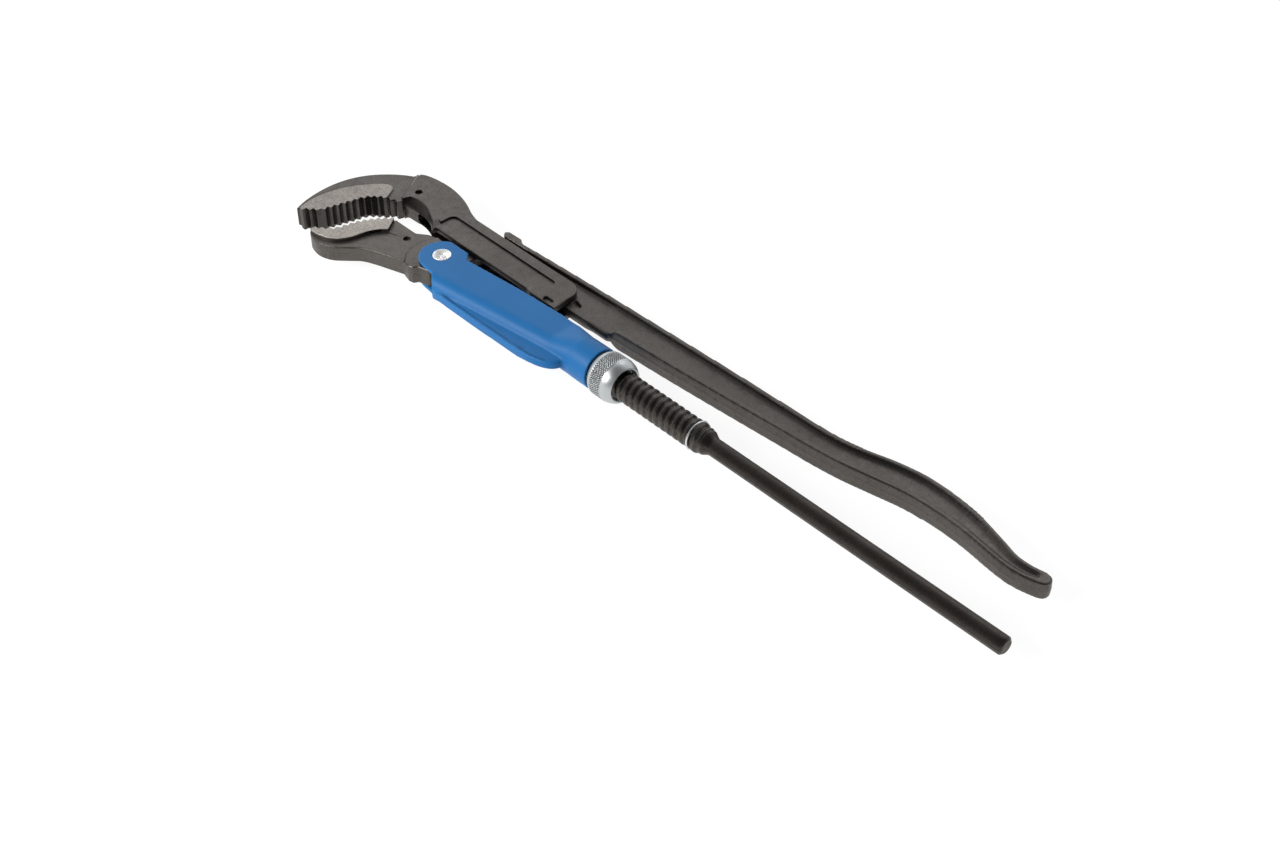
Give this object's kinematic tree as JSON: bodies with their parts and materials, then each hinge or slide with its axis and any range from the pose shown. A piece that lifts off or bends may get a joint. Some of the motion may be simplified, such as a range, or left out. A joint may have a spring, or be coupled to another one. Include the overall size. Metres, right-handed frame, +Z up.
{
  "type": "pipe wrench",
  "caption": "Swedish-pattern pipe wrench with an S-shaped toothed mouth, crossing forged legs, a blue sheet-steel case on a rivet and a captive knurled nut.",
  "frame": {"origin": "centre of the bounding box in plan, at the bottom, which is the adjusting nut's lowest line; the tool lies flat on its side", "axes": "+X along the bar handle, from the jaws to the handle ends; +Y towards the beam handle; +Z up, across the tool's thickness"},
  "size_m": [0.5597, 0.1133, 0.0288],
  "materials": {
    "forged_steel": "phosphated drop-forged steel, matt grey-brown with a fine grain",
    "ground_steel": "phosphated forging, ground lighter beside the teeth",
    "thread_steel": "phosphated and oiled, dark",
    "case_paint": "satin blue powder coat",
    "rivet_steel": "bright turned steel",
    "ring_steel": "zinc-plated spring wire",
    "nut_zinc": "zinc-plated, diamond knurl between smooth bands"
  },
  "bodies": {
    "main_leg": {"lower_jaw": "ground_steel", "pivot_eye": "forged_steel", "beam_handle": "forged_steel"},
    "case": {"case_shell": "case_paint", "pivot_rivet": "rivet_steel", "nut_snap_ring": "ring_steel"},
    "hook_leg": {"hook_jaw": "ground_steel", "front_cheek": "forged_steel", "rear_cheek": "forged_steel", "shank_neck": "forged_steel", "threaded_shank": "thread_steel", "stop_ring": "ring_steel", "bar_handle": "forged_steel"},
    "nut": {"adjusting_nut": "nut_zinc"}
  },
  "joints": [
    {"name": "case_swing", "type": "hinge", "parent": "main_leg", "child": "case", "pos_m": [-0.16615, -0.01085, 0.0144], "axis": [0, 0, -1], "range_deg": [-3, 10]},
    {"name": "hook_slide", "type": "slide", "parent": "case", "child": "hook_leg", "axis": [-1, 0, 0], "range_m": [-0.016, 0.046]},
    {"name": "nut_spin", "type": "hinge", "parent": "case", "child": "nut", "pos_m": [-0.01215, -0.00735, 0.0144], "axis": [1, 0, 0], "range_deg": [-1135, 3255]}
  ],
  "couplings": [
    {"joint": "nut_spin", "follows": "hook_slide", "rad_per_m": 1232}
  ]
}
